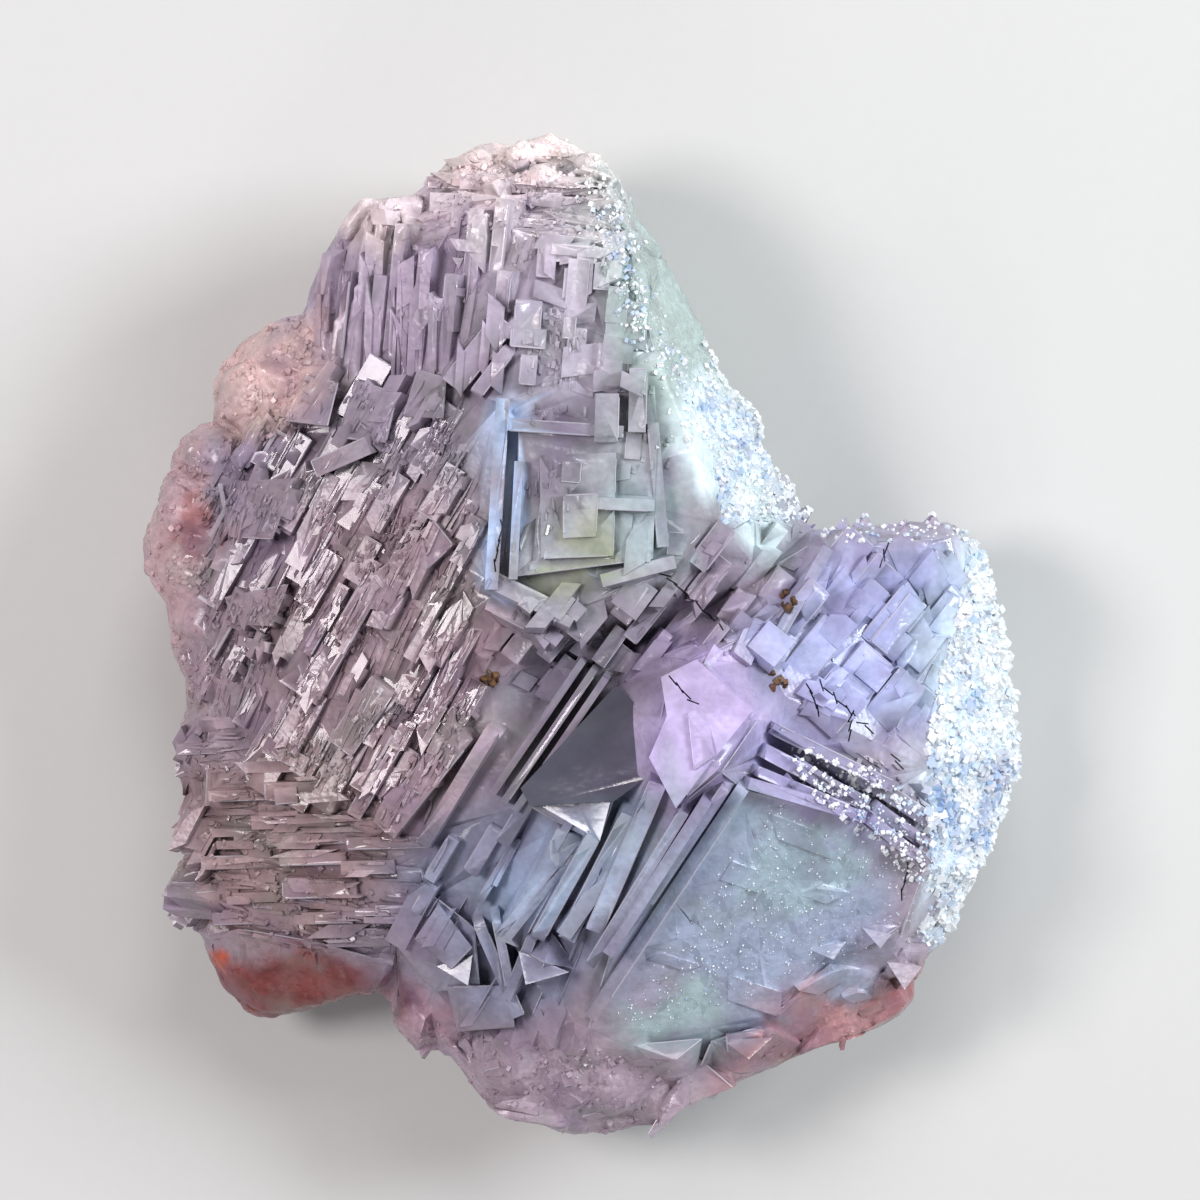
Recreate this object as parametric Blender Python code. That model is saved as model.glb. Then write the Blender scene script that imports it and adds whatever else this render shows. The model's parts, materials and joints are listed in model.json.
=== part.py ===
"""Fluorite specimen: one intergrown mass of stepped cubes, lying on its broken back with its face up.

Metres, +Z up. The origin is below the middle of the specimen, on the surface that it lies on.
Looking down on it, +Y is the way from the rounded foot to the crown. Points and sizes in the
lists are in millimetres.
"""

import math
import random

import bmesh
import bpy
from mathutils import Matrix, Vector
from mathutils.bvhtree import BVHTree
from mathutils.geometry import delaunay_2d_cdt

MM = 0.001

# How far inside the outline the crystals at the rim end.
LIMIT_INSET = 0.16

# The outline seen from above, clockwise from the crown. It sets the width and the height.
OUTLINE = [
    (-2.1, 35.25), (-1.2, 34.4), (1.5, 33.6), (2.3, 32.5), (4.0, 29.5), (5.9, 26.5), (8.4, 21.5),
    (9.4, 19.0), (10.3, 17.4), (12.0, 16.2), (12.7, 14.7), (12.2, 13.6), (12.8, 12.4), (14.6, 10.9),
    (15.1, 8.7), (16.2, 7.5), (20.4, 7.8), (23.0, 8.1), (26.0, 7.9), (27.6, 6.8), (28.4, 5.4),
    (28.8, 4.1), (29.9, 1.2), (30.4, -1.4), (30.2, -2.6), (30.8, -4.0), (30.6, -5.7), (31.2, -8.2),
    (30.8, -10.9), (29.9, -12.8), (29.1, -15.0), (28.1, -16.6), (27.2, -18.6), (25.7, -21.5),
    (24.6, -22.4), (23.5, -24.1), (23.7, -25.2), (23.0, -26.6), (20.2, -27.8), (16.1, -29.0),
    (13.2, -30.5), (9.8, -31.8), (7.6, -32.6), (5.6, -34.2), (2.4, -34.7), (1.8, -35.25),
    (-1.0, -35.1), (-2.9, -34.2), (-5.0, -33.9), (-6.9, -32.9), (-8.5, -30.4), (-9.2, -29.4),
    (-10.4, -29.6), (-11.7, -29.1), (-13.6, -27.0), (-13.6, -25.8), (-14.7, -25.4), (-16.1, -25.3),
    (-17.8, -26.2), (-21.1, -27.0), (-22.5, -27.2), (-23.9, -26.7), (-25.0, -25.8), (-27.2, -21.6),
    (-27.2, -20.5), (-29.1, -19.1), (-29.4, -17.8), (-28.0, -15.4), (-28.6, -13.7), (-27.9, -11.4),
    (-28.5, -9.2), (-28.4, -6.1), (-27.7, -4.9), (-28.1, -2.9), (-29.1, -0.6), (-28.8, 0.2),
    (-29.3, 2.8), (-30.7, 3.6), (-31.2, 7.1), (-29.9, 9.9), (-30.3, 10.8), (-29.4, 12.1),
    (-28.5, 14.1), (-26.4, 15.1), (-26.0, 16.2), (-26.2, 18.6), (-22.9, 22.1), (-19.6, 22.6),
    (-19.0, 25.1), (-17.6, 27.8), (-16.1, 30.0), (-15.2, 30.7), (-11.3, 30.9), (-10.8, 32.1),
    (-9.6, 32.6), (-9.2, 33.6), (-6.3, 34.6), (-4.7, 34.4), (-3.3, 35.0),
]

# Height of the rim, by direction from the middle, in degrees from +X.
RIM = [
    (-180, 9.5), (-145, 8.5), (-128, 6.0), (-112, 9.0), (-90, 11.5), (-60, 10.5), (-40, 9.5),
    (-15, 7.5), (0, 8.5), (16, 12.0), (35, 14.0), (70, 14.0), (92, 15.5), (122, 12.5), (145, 9.0),
    (180, 9.5),
]

# The lines along which the main faces meet, and the points between them.
FACE_LINES = [
    [(-1.5, 33.4, 17.5), (1.8, 30.8, 20.5), (3.2, 27.0, 23.0), (5.0, 19.5, 25.0), (7.5, 13.0, 25.5),
     (9.0, 8.0, 24.5), (6.0, 4.5, 25.0), (0.0, 2.2, 24.8), (-5.5, 2.8, 24.2), (-5.4, 16.0, 24.8),
     (-4.2, 21.5, 23.8), (-3.2, 27.2, 22.0), (3.2, 27.0, 23.0)],
    [(-3.2, 27.2, 22.0), (-7.5, 27.5, 20.0), (-15.0, 26.5, 16.0), (-17.2, 19.0, 15.0),
     (-12.5, 17.5, 19.0), (-8.0, 17.0, 22.3), (-5.4, 16.0, 24.8)],
    [(-17.2, 19.0, 15.0), (-22.0, 14.5, 15.0), (-25.5, 11.0, 13.5), (-26.0, 2.0, 13.5),
     (-26.0, -5.0, 13.0), (-26.3, -13.0, 13.0), (-25.0, -18.5, 12.5), (-18.0, -20.0, 14.5),
     (-12.5, -19.0, 17.5), (-10.0, -13.0, 20.5), (-7.0, -4.0, 22.0), (-5.5, 2.8, 24.2)],
    [(-7.0, -4.0, 22.0), (-2.0, -1.5, 21.0), (3.0, -0.8, 20.5), (8.0, 1.5, 21.0), (12.5, 4.5, 20.0),
     (15.8, 6.4, 17.5)],
    [(8.3, -1.3, 26.5), (6.0, -2.3, 27.0), (5.3, -6.0, 28.2), (5.0, -8.2, 28.4), (6.5, -11.5, 28.2),
     (9.5, -9.0, 29.0), (12.0, -5.5, 27.0), (8.3, -1.3, 26.5)],
    [(2.3, -3.7, 24.0), (5.0, -8.2, 28.4), (1.8, -11.0, 24.5), (-3.5, -11.4, 22.5), (2.3, -3.7, 24.0)],
    [(6.5, -11.5, 28.2), (3.0, -18.0, 24.8), (-0.5, -26.5, 18.0), (-5.0, -26.0, 15.5),
     (-9.0, -22.0, 16.5), (-12.5, -19.0, 17.5)],
    [(11.0, -10.2, 27.0), (19.0, -12.5, 23.7), (23.5, -16.0, 20.5), (22.0, -21.0, 17.6),
     (17.0, -22.0, 18.1), (13.0, -26.0, 16.4), (9.0, -27.0, 16.6), (3.5, -28.5, 16.9),
     (0.5, -27.0, 18.5), (11.0, -10.2, 27.0)],
    [(12.0, -5.5, 27.0), (13.5, -7.6, 23.5), (20.0, -11.5, 21.5), (23.9, -14.0, 19.0)],
    [(12.8, -2.0, 23.5), (14.0, -4.0, 23.5), (20.0, -7.0, 21.5), (24.0, -9.0, 19.0),
     (25.0, -2.0, 17.5), (26.4, 4.0, 16.5), (25.6, 6.9, 16.5), (16.7, 6.2, 19.5), (13.0, 1.0, 22.8),
     (12.8, -2.0, 23.5)],
]
FACE_POINTS = [
    (0.0, 10.0, 25.4), (-11.0, 10.0, 22.0), (-18.0, 8.0, 18.5), (-12.0, 0.0, 21.5),
    (-19.0, -4.0, 18.0), (-15.0, -11.0, 19.5), (-20.5, -13.0, 16.5), (-5.0, -15.0, 21.5),
    (-3.0, -20.5, 20.0), (19.0, 0.0, 20.8), (-6.0, -29.0, 14.5), (0.0, -30.5, 15.0),
    (5.0, -31.0, 14.0), (20.0, -24.0, 15.0), (14.0, -28.0, 14.0), (9.0, -30.0, 13.5),
    (-22.0, -23.0, 10.5), (-16.0, -23.2, 12.0), (-11.3, -26.5, 11.5), (-22.0, 18.0, 12.5),
    (-28.3, 7.0, 12.0), (-7.0, 32.0, 17.0), (10.5, 13.0, 20.5), (7.5, 19.0, 21.0),
    (27.8, -8.0, 14.0), (27.0, -16.0, 14.5),
]


def millimetres(*values):
    return Vector([value * MM for value in values])


def linked(name, made):
    """An object of the finished bmesh, with flat triangles and its faces pointing out."""
    bmesh.ops.recalc_face_normals(made, faces=made.faces[:])
    bmesh.ops.triangulate(made, faces=made.faces[:])
    mesh = bpy.data.meshes.new(name)
    made.to_mesh(mesh)
    made.free()
    thing = bpy.data.objects.new(name, mesh)
    bpy.context.scene.collection.objects.link(thing)
    return thing


def rim_height(x, y):
    heading = math.degrees(math.atan2(y, x))
    for (low, low_height), (high, high_height) in zip(RIM, RIM[1:]):
        if low <= heading <= high:
            return low_height + (high_height - low_height) * (heading - low) / (high - low)
    return RIM[0][1]


def inside(point, corners):
    """True if a point lies inside a closed run of corners."""
    x, y = point
    crossed = False
    for (ax, ay), (bx, by) in zip(corners, corners[1:] + corners[:1]):
        if (ay > y) != (by > y) and x < ax + (y - ay) * (bx - ax) / (by - ay):
            crossed = not crossed
    return crossed


def sheet(made, rim, lines, points):
    """Adds flat triangles between the rim's vertices, through every line and point given."""
    places = {}
    for vert in rim:
        places[(round(vert.co.x / MM, 4), round(vert.co.y / MM, 4))] = vert
    keys = list(places)
    edges = [(i, (i + 1) % len(keys)) for i in range(len(keys))]
    for line in lines:
        run = []
        for x, y, z in line:
            if (x, y) not in places:
                places[(x, y)] = made.verts.new(millimetres(x, y, z))
                keys.append((x, y))
            run.append(keys.index((x, y)))
        edges += zip(run, run[1:])
    for x, y, z in points:
        places[(x, y)] = made.verts.new(millimetres(x, y, z))
        keys.append((x, y))
    found = delaunay_2d_cdt([Vector(key) for key in keys], edges, [], 1, 1e-5)
    for face in found[2]:
        made.faces.new([places[keys[found[3][i][0]]] for i in face])


def bulk():
    """What the crystals stand on: main faces above the rim, and below it a broken back with a flat rest."""
    chance = random.Random(4)
    made = bmesh.new()
    rim = [made.verts.new(millimetres(x, y, rim_height(x, y))) for x, y in OUTLINE]
    brow = []
    for x, y in OUTLINE:
        share = chance.uniform(0.955, 0.975)
        brow.append((round(x * share, 4), round(y * share, 4), rim_height(x, y) + chance.uniform(0.6, 2.2)))
    sheet(made, rim, FACE_LINES, FACE_POINTS + brow)
    broken = []
    for start, step, nearest, farthest, low, high in ((0, 2, 0.91, 0.96, 5.2, 7.4), (1, 3, 0.79, 0.87, 1.6, 3.8)):
        for x, y in OUTLINE[start::step]:
            share = chance.uniform(nearest, farthest)
            broken.append((round(x * share, 4), round(y * share, 4), chance.uniform(low, high)))
    rest = [(round(x * 0.68, 4), round(y * 0.70, 4), 0.0) for x, y in OUTLINE[::7]]
    sheet(made, rim, [rest + rest[:1]], broken)
    return linked("bulk", made)


def turned_cube(heading, pitch=0.0, roll=0.0):
    """How a cube is turned: its heading about +Z, its leading end raised by pitch, its left side by roll."""
    turn = Matrix.Rotation(math.radians(heading), 3, "Z")
    raised = Matrix.Rotation(math.radians(-pitch), 3, "Y")
    return turn @ raised @ Matrix.Rotation(math.radians(roll), 3, "X")


def block(top, size, turned):
    """A block. Its top face's middle is at top, and its size is length, width and depth."""
    scale = Matrix.Diagonal(millimetres(*size))
    middle = millimetres(*top) - turned @ millimetres(0, 0, size[2] / 2)
    made = bmesh.new()
    bmesh.ops.create_cube(made, size=1.0, matrix=Matrix.Translation(middle) @ (turned @ scale).to_4x4())
    return linked("block", made)


def bar(start, end, width, depth=4.0, roll=0.0):
    """A long block. The middle line of its top face runs from start to end."""
    run = Vector(end) - Vector(start)
    heading = math.degrees(math.atan2(run.y, run.x))
    pitch = math.degrees(math.asin(run.z / run.length))
    middle = (Vector(start) + Vector(end)) / 2
    return block(middle, (run.length, width, depth), turned_cube(heading, pitch, roll))


def plate(corners, depth=4.0):
    """A flat-topped crystal, straight down from the corners of its top face."""
    made = bmesh.new()
    tops = [made.verts.new(millimetres(*corner)) for corner in corners]
    feet = [made.verts.new(millimetres(x, y, z - depth)) for x, y, z in corners]
    made.faces.new(tops)
    made.faces.new(feet[::-1])
    for i in range(len(tops)):
        j = (i + 1) % len(tops)
        made.faces.new([tops[i], tops[j], feet[j], feet[i]])
    return linked("plate", made)


def spike(corners, tip, depth=3.0):
    """A pyramid on the corners, with its foot sunk by depth."""
    made = bmesh.new()
    top = made.verts.new(millimetres(*tip))
    rim = [made.verts.new(millimetres(*corner)) for corner in corners]
    feet = [made.verts.new(millimetres(x, y, z - depth)) for x, y, z in corners]
    made.faces.new(feet[::-1])
    for i in range(len(rim)):
        j = (i + 1) % len(rim)
        made.faces.new([rim[i], rim[j], top])
        made.faces.new([feet[i], feet[j], rim[j], rim[i]])
    return linked("spike", made)


def lump(middle, radii, seed, heading=0.0, count=26):
    """A rounded lump with flat facets."""
    chance = random.Random(seed)
    turned = turned_cube(heading)
    made = bmesh.new()
    for i in range(count):
        up = 1 - 2 * (i + 0.5) / count
        around = i * 2.39996 + chance.uniform(-0.25, 0.25)
        flat = math.sqrt(1 - up * up)
        out = Vector((flat * math.cos(around) * radii[0], flat * math.sin(around) * radii[1], up * radii[2]))
        made.verts.new((Vector(middle) + turned @ out * chance.uniform(0.88, 1.0)) * MM)
    hull = bmesh.ops.convex_hull(made, input=made.verts[:])
    spare = [part for part in hull["geom_interior"] if isinstance(part, bmesh.types.BMVert)]
    bmesh.ops.delete(made, geom=spare, context="VERTS")
    return linked("lump", made)


def field(ground, corners, turned, spacing, lengths, widths, rise, seed, depth=3.0, below=False):
    """Blocks that all lie one way, spread over the ground inside the corners: a stepped face."""
    chance = random.Random(seed)
    along, across, up = (turned @ Vector(way) for way in ((1, 0, 0), (0, 1, 0), (0, 0, 1)))
    middle = Vector((sum(x for x, _ in corners), sum(y for _, y in corners))) / len(corners)
    reach = max(math.dist(middle, corner) for corner in corners)
    rows = int(reach / spacing[1]) + 2
    steps = int(reach / spacing[0]) + 2
    start, way = (-5, Vector((0, 0, 1))) if below else (50, Vector((0, 0, -1)))
    made = []
    for row in range(-rows, rows):
        shift = chance.uniform(0, spacing[0])
        for step in range(-steps, steps):
            s = step * spacing[0] + shift + chance.uniform(-0.3, 0.3) * spacing[0]
            t = (row + chance.uniform(-0.3, 0.3)) * spacing[1]
            x = middle.x + along.x * s + across.x * t
            y = middle.y + along.y * s + across.y * t
            size = (chance.uniform(*lengths), chance.uniform(*widths), depth)
            lift = chance.uniform(*rise)
            if not inside((x, y), corners):
                continue
            place = ground.ray_cast(millimetres(x, y, start), way)[0]
            if place and (place.z > 2.4 * MM):
                made.append(block(place / MM + up * lift, size, turned))
    return made


def crown(ground):
    """The terraces and grains at the top end."""
    made = [
        bar((-9.0, 31.6, 16.6), (0.6, 31.0, 20.6), 1.2),
        bar((-10.5, 30.2, 16.8), (1.9, 29.5, 21.6), 1.3),
        bar((-9.0, 28.9, 18.6), (2.6, 28.2, 22.8), 1.2),
        bar((-6.6, 27.7, 20.8), (2.9, 27.0, 23.8), 1.1),
        bar((-3.0, 26.3, 23.2), (3.0, 25.9, 24.6), 1.0),
    ]
    grains = [(-2.0, 33.7, 15.6, 1.5), (-4.6, 33.2, 16.0, 1.5), (-7.4, 33.0, 15.6, 1.6), (-9.2, 31.6, 15.2, 1.5),
              (0.5, 32.6, 17.6, 1.4), (-12.0, 29.7, 15.0, 1.5), (-14.6, 29.3, 13.4, 1.7), (-5.8, 31.0, 18.0, 1.2),
              (-2.6, 31.8, 18.6, 1.3)]
    for number, (x, y, z, radius) in enumerate(grains):
        made.append(lump((x, y, z), (radius * 1.2, radius, radius * 1.4), number, 20 * number, 16))
    return made


def upper_crystal(ground):
    """Upright flutes on its left shoulder, small plates, then squares set one in another."""
    flutes = [(-18.6, 21.0), (-17.2, 19.4), (-4.8, 18.4), (-4.2, 26.6), (-15.0, 28.6), (-17.6, 27.0)]
    made = field(ground, flutes, turned_cube(84, 6, -22), (8.4, 1.2), (7.0, 9.6), (0.7, 1.1), (0.3, 1.3), 5, 4.0)
    plates = [(-6.0, 17.8), (4.6, 17.0), (3.0, 26.4), (-4.0, 26.8)]
    made += field(ground, plates, turned_cube(85, 4, 0), (3.4, 2.4), (1.8, 3.6), (1.0, 2.2), (0.2, 1.1), 6)
    made += [
        plate([(-4.4, 4.2, 25.9), (4.9, 5.4, 26.2), (5.2, 14.0, 26.4), (-4.2, 14.2, 26.0)]),
        plate([(-2.7, 5.4, 26.6), (2.2, 5.6, 26.8), (2.4, 12.6, 26.9), (-2.8, 12.4, 26.7)]),
        plate([(-1.2, 6.8, 27.2), (1.0, 6.9, 27.3), (1.2, 9.8, 27.4), (-1.2, 9.7, 27.2)]),
        plate([(0.9, 13.3, 27.3), (2.5, 13.3, 27.4), (2.6, 16.6, 26.8), (1.0, 16.6, 26.7)]),
        bar((3.8, 14.0, 27.0), (3.9, 18.3, 26.6), 1.2),
        bar((-6.1, 3.3, 26.0), (-5.3, 16.3, 26.4), 0.9),
        bar((-4.6, 4.0, 26.7), (-4.2, 12.0, 27.0), 0.6),
        bar((-0.1, 9.2, 27.4), (5.0, 9.0, 26.9), 0.8),
        bar((-5.0, 14.5, 26.7), (2.9, 14.0, 26.8), 0.8),
        bar((-6.5, 4.2, 25.5), (-0.5, 1.3, 25.7), 1.3, 4.0, -15),
        bar((-6.3, 2.5, 24.8), (-1.6, 0.1, 24.6), 1.2, 4.0, -20),
        bar((1.4, 3.9, 26.2), (6.4, 5.2, 26.2), 0.9, 4.0, -10),
        bar((-8.8, 17.2, 23.8), (-5.2, 21.6, 24.8), 1.7, 4.0, 10),
        bar((-7.2, 16.6, 24.4), (-4.9, 19.6, 25.2), 0.9),
        bar((5.6, 6.2, 26.0), (4.9, 14.6, 26.6), 0.8, 4.0, 14),
    ]
    return made


def left_field(ground):
    """The left slope: fine ridges that lean to the right, with a few larger cubes and bars."""
    corners = [(-9, 16.5), (-6.4, 3), (-7.6, -4), (-11, -13), (-18, -11), (-25.6, -5), (-25.6, 11), (-22.5, 15),
               (-18, 17.5)]
    made = field(ground, corners, turned_cube(60, 6, -16), (4.6, 2.0), (2.6, 6.4), (0.8, 1.9), (0.2, 1.2), 11)
    made += [
        plate([(-25.3, 10.8, 15.0), (-19.8, 11.0, 19.2), (-21.3, 6.8, 18.8), (-24.5, 7.0, 15.6)]),
        plate([(-24.8, 2.8, 15.4), (-20.2, 3.7, 18.6), (-21.3, 0.8, 18.2), (-24.0, 0.9, 16.0)]),
        plate([(-20.5, 15.0, 17.2), (-17.5, 14.6, 18.8), (-16.8, 17.6, 18.0), (-19.4, 18.2, 16.2)], 3.0),
        plate([(-16.8, 13.8, 19.2), (-13.4, 13.4, 21.2), (-12.6, 16.8, 20.6), (-15.6, 17.8, 18.8)], 3.0),
        plate([(-12.2, 15.2, 21.6), (-9.4, 15.0, 23.2), (-9.2, 17.8, 22.6), (-11.2, 18.4, 21.2)], 3.0),
        bar((-18.4, 11.6, 19.8), (-14.6, 13.2, 21.4), 1.2),
        bar((-23.8, -0.2, 16.4), (-21.6, -0.7, 17.8), 0.7),
        bar((-21.9, -7.3, 17.6), (-19.0, -8.8, 18.8), 1.1),
        bar((-22.6, -10.4, 16.2), (-19.6, -10.7, 18.0), 0.8),
        bar((-22.4, -12.0, 15.9), (-19.2, -12.1, 17.8), 0.8),
        bar((-13.6, 3.4, 22.0), (-9.4, 7.2, 23.8), 2.2, 4.0, -12),
        bar((-16.6, -7.6, 20.0), (-13.6, -3.2, 21.6), 2.0, 4.0, -12),
        bar((-13.6, -13.2, 20.6), (-8.1, -6.3, 23.4), 1.9, 5.0, -10),
        bar((-10.9, -14.2, 21.4), (-6.0, -6.2, 24.0), 1.0, 5.0, -8),
        bar((-15.7, -12.3, 19.8), (-13.4, -8.5, 21.4), 1.0),
    ]
    ledges = [(-26, -5.5), (-18.5, -10.5), (-12, -14), (-12.2, -20), (-14.5, -22.4), (-19, -21.6), (-26, -19.4),
              (-26.8, -13)]
    made += field(ground, ledges, turned_cube(2, 14, 6), (4.9, 1.75), (3.0, 6.8), (0.7, 1.3), (0.2, 1.0), 12)
    return made


def left_lumps(ground):
    """The rounded rosy lumps along the left rim and at the lower left corner."""
    sizes = [
        ((-26.6, 5.2, 10.0), (4.6, 3.2, 4.6), 10), ((-26.4, 9.0, 10.4), (4.2, 2.8, 4.4), -10),
        ((-25.2, 12.6, 10.4), (3.9, 2.7, 4.2), -20), ((-22.7, 16.8, 10.4), (3.6, 3.2, 4.2), 30),
        ((-20.4, 19.6, 10.6), (3.7, 2.7, 4.4), 20), ((-26.0, 1.2, 10.0), (3.0, 2.6, 4.0), 0),
        ((-25.6, -8.4, 10.0), (2.7, 2.5, 3.6), 0), ((-26.0, -18.0, 9.2), (3.1, 1.8, 3.8), 20),
        ((-25.4, -13.2, 9.8), (2.8, 2.3, 3.8), 0), ((-11.4, -26.6, 9.2), (2.1, 2.6, 4.0), 0),
    ]
    made = [lump(middle, radii, 30 + i, heading, 30) for i, (middle, radii, heading) in enumerate(sizes)]
    made.append(plate([(-26.8, -21.2, 9.4), (-24.6, -25.4, 7.8), (-22.4, -26.8, 8.2), (-17.8, -25.9, 9.8),
                       (-14.6, -25.1, 10.8), (-13.0, -22.8, 13.4), (-18.6, -21.2, 14.0), (-24.0, -20.4, 12.2)], 2.6))
    return made


def lower_crystal(ground):
    """The raised corner with terraces down both its sides, and the sharp blades to its left."""
    made = [
        plate([(8.2, -1.6, 27.4), (6.2, -2.6, 27.9), (5.7, -6.0, 29.2), (5.6, -8.0, 29.6), (7.2, -10.6, 29.9),
               (9.3, -8.7, 30.3), (11.6, -5.6, 28.5)], 7.0),
        plate([(8.4, -4.4, 29.4), (7.2, -5.0, 29.8), (7.6, -8.8, 30.6), (9.0, -7.8, 30.7)], 4.0),
        bar((10.9, -10.2, 28.2), (0.6, -26.2, 19.8), 0.9, 5.0),
        bar((9.7, -10.2, 29.4), (4.6, -18.0, 25.6), 0.7, 6.0),
        bar((8.3, -11.2, 29.8), (1.8, -21.6, 24.0), 0.8, 7.0),
        bar((6.9, -11.8, 29.4), (0.6, -22.4, 23.0), 0.7, 7.0),
        bar((5.2, -9.8, 29.2), (0.9, -20.0, 24.2), 1.2, 6.0, -6),
        bar((3.3, -12.0, 27.4), (-1.0, -20.6, 23.0), 1.2, 6.0, -6),
        bar((0.9, -13.4, 26.4), (-3.0, -20.6, 22.2), 1.0, 6.0, -8),
        bar((-0.8, -13.3, 25.2), (-5.0, -21.0, 20.8), 1.8, 5.0, -12),
        plate([(-3.4, -11.5, 24.8), (2.3, -10.7, 26.2), (1.2, -14.0, 25.2)]),
        plate([(2.2, -4.0, 25.2), (4.9, -6.8, 26.6), (1.3, -10.8, 25.6), (-3.1, -11.0, 24.0)]),
        plate([(-13.2, -20.8, 17.6), (-10.5, -17.5, 19.6), (-7.3, -20.0, 19.8), (-7.0, -24.2, 17.4),
               (-10.2, -24.6, 16.0)]),
        plate([(-11.5, -20.8, 18.8), (-9.8, -18.3, 20.4), (-7.5, -21.3, 19.8), (-9.0, -22.9, 18.4)], 3.0),
        plate([(-9.3, -24.2, 16.8), (-5.0, -24.0, 18.4), (-4.6, -27.0, 16.8), (-8.6, -27.4, 15.4)]),
        bar((-6.8, -20.2, 20.8), (-4.3, -26.2, 17.6), 0.8, 4.0),
        bar((-5.8, -19.4, 21.6), (-4.9, -24.0, 19.2), 0.6, 4.0),
        bar((-3.4, -20.6, 21.6), (-5.2, -25.0, 18.6), 0.7, 4.0, 12),
        spike([(-4.6, -21.2, 19.6), (-3.2, -24.1, 17.8), (-0.2, -22.8, 20.0), (-2.0, -20.2, 21.4)],
              (-2.5, -22.2, 22.4)),
    ]
    for i in range(3):
        made.append(bar((1.7 - 0.8 * i, -2.7 + 0.55 * i, 25.4 - 0.5 * i),
                        (-4.5 - 0.8 * i, -11.8 + 0.55 * i, 23.9 - 0.5 * i), 0.5))
    blades = [(-9.6, -12.6), (-3.8, -12.2), (-5.4, -19.6), (-11.8, -18.4)]
    made += field(ground, blades, turned_cube(59, 14, -8), (4.0, 1.8), (2.4, 5.4), (0.5, 1.5), (0.3, 1.5), 13)
    valley = [(-5.6, 1.6), (2.0, 2.4), (8.8, 6.6), (15.6, 6.9), (12.4, -0.6), (5.4, -2.0), (1.4, -3.0), (-5, -4)]
    made += field(ground, valley, turned_cube(52, 2, 6), (3.6, 1.9), (2.2, 4.8), (0.8, 1.7), (0.2, 1.1), 14)
    return made


def right_side(ground):
    """The overlapping plates of the right crystal, the steps below them and the frame of the smooth face."""
    plates = [(16.4, 5.6), (25.0, 6.0), (25.6, 3.4), (24.2, -2.0), (23.2, -8.0), (20, -6.6), (14.2, -3.6), (13.2, 0.6)]
    made = field(ground, plates, turned_cube(50, -6, 12), (3.8, 2.6), (2.8, 5.4), (1.8, 3.2), (0.2, 0.9), 15)
    made += [
        bar((17.0, 6.2, 20.6), (12.8, -1.0, 24.4), 0.8),
        bar((11.4, -9.8, 28.0), (19.4, -12.2, 24.9), 0.8, 5.0),
        bar((19.8, -12.4, 24.7), (23.7, -15.6, 21.6), 0.9),
        bar((13.0, -6.1, 26.0), (21.4, -10.2, 23.2), 0.8, 5.0),
        bar((12.4, -7.6, 26.2), (19.6, -11.4, 23.6), 1.0, 5.0),
        bar((12.0, -9.0, 27.2), (18.2, -11.6, 24.6), 0.7, 5.0),
        bar((19.4, -9.6, 23.4), (24.0, -12.6, 20.6), 1.1),
        bar((20.2, -11.6, 23.2), (24.0, -14.4, 20.8), 0.9),
        spike([(19.4, -19.6, 18.9), (22.2, -19.8, 18.2), (21.8, -22.2, 16.8), (19.0, -21.8, 17.7)],
              (20.8, -20.6, 19.4)),
        spike([(21.6, -21.0, 17.2), (24.4, -21.4, 14.6), (23.6, -24.0, 13.4), (21.0, -23.6, 15.2)],
              (22.8, -22.4, 17.2)),
    ]
    return made


def foot(ground):
    """The rosy lumps below the smooth face, and the rounded foot with rings up its left side."""
    made = [
        plate([(17.2, -22.5, 18.0), (20.8, -23.3, 16.0), (23.0, -25.3, 12.8), (22.5, -26.5, 11.4),
               (19.8, -27.6, 11.8), (16.2, -28.6, 12.2), (13.2, -26.4, 16.4)], 3.4),
        plate([(12.8, -26.8, 16.2), (15.8, -28.8, 12.4), (13.0, -30.3, 11.8), (9.4, -31.6, 11.8),
               (7.8, -31.2, 13.4), (9.0, -28.0, 16.6)], 3.4),
        lump((0.4, -30.0, 10.2), (7.0, 4.6, 6.2), 53, 0, 44),
        lump((-4.0, -28.6, 10.2), (4.6, 4.6, 5.6), 54, -30, 34),
        spike([(3.6, -28.2, 17.0), (8.4, -27.8, 16.6), (7.9, -31.0, 13.4), (4.2, -31.0, 14.0)], (6.5, -29.2, 17.4)),
        plate([(10.0, -27.5, 17.3), (13.0, -27.1, 16.9), (12.6, -28.8, 15.6), (10.2, -28.9, 15.7)], 3.0),
    ]
    for i in range(4):
        made.append(bar((-9.3 + 0.9 * i, -28.4 + 0.2 * i, 12.4 + 0.7 * i),
                        (-5.2 + 0.9 * i, -33.4 + 0.5 * i, 11.8 + 0.7 * i), 0.8, 4.0, 12))
    return made


def back(ground):
    """Cleavage steps on the broken underside and low on the flanks."""
    sides = [
        ([(0, 0), (0, 36), (-40, 36), (-40, 0)], 62, 8, 168), ([(0, 0), (0, -36), (-40, -36), (-40, 0)], 12, 6, 186),
        ([(0, 0), (0, -36), (40, -36), (40, 0)], 50, 10, 176), ([(0, 0), (0, 36), (40, 36), (40, 0)], 30, -8, 174),
    ]
    made = []
    for number, (corners, heading, pitch, roll) in enumerate(sides):
        made += field(ground, corners, turned_cube(heading, pitch, roll), (9.5, 6.5), (4.0, 8.0), (2.6, 5.6),
                      (0.1, 0.8), 60 + number, 4.0, True)
    return made


def helpers(name, things):
    """A collection of the things, none of them shown or built on its own."""
    collection = bpy.data.collections.new(name)
    bpy.context.scene.collection.children.link(collection)
    for thing in things:
        bpy.context.scene.collection.objects.unlink(thing)
        collection.objects.link(thing)
        thing.hide_render = True
        thing.display_type = "WIRE"
    return collection


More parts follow.
